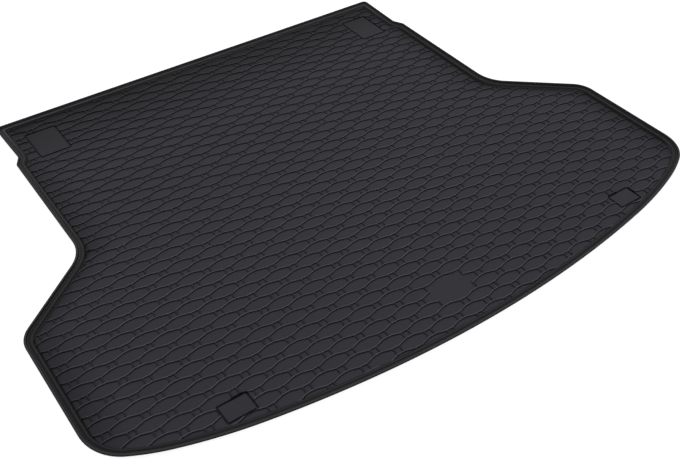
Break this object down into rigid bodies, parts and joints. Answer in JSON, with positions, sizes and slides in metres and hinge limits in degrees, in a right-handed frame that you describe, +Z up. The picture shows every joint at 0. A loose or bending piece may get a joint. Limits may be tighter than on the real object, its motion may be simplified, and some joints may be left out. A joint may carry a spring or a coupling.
{
  "type": "car boot liner",
  "caption": "Moulded rubber boot liner tray with a low stepped rim, wheel arch cut-ins and a wavy rib tread.",
  "frame": {"origin": "on the ground, under the middle of the tray's length and width", "axes": "+X to the right seen from the tailgate, +Y from the sill towards the seats, +Z up"},
  "size_m": [1.38, 1.047, 0.012],
  "materials": {
    "rubber": "fine matt grain"
  },
  "bodies": {
    "root": {"boot_liner": "rubber"}
  },
  "joints": []
}
